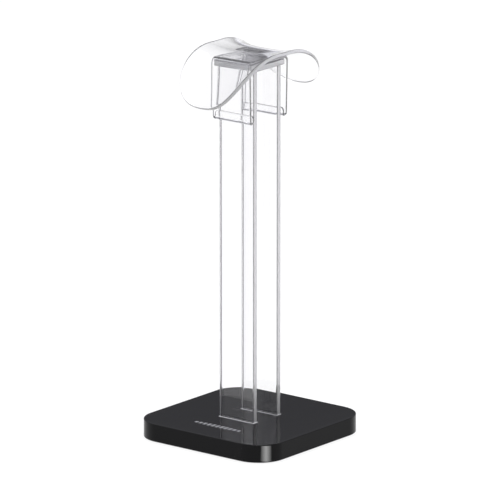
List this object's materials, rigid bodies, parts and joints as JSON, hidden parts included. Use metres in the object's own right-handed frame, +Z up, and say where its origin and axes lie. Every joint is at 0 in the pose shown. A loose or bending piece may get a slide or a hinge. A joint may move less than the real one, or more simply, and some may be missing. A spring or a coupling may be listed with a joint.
{
  "type": "headphone stand",
  "caption": "Desk stand for headphones: clear curved saddle on a bent bracket and upright clear strips, over a heavy gloss black base.",
  "frame": {"origin": "centre of the footprint on the surface the feet stand on", "axes": "+Z up; -Y is the front, with the mark; X runs across the width of the upright strips"},
  "size_m": [0.12, 0.12, 0.2834],
  "materials": {
    "clear_acrylic": "polished clear",
    "gloss_black_acrylic": "mirror gloss",
    "foot_rubber": "matte",
    "screw_steel": "satin",
    "mark_foil": "satin"
  },
  "bodies": {
    "root": {"base_slab": "gloss_black_acrylic", "foot_front_left": "foot_rubber", "foot_front_right": "foot_rubber", "foot_rear_left": "foot_rubber", "foot_rear_right": "foot_rubber", "front_leg": "clear_acrylic", "rear_leg": "clear_acrylic", "base_screws": "screw_steel", "tie_plate": "clear_acrylic", "hook_bracket": "clear_acrylic", "saddle": "clear_acrylic", "front_mark": "mark_foil"}
  },
  "joints": []
}
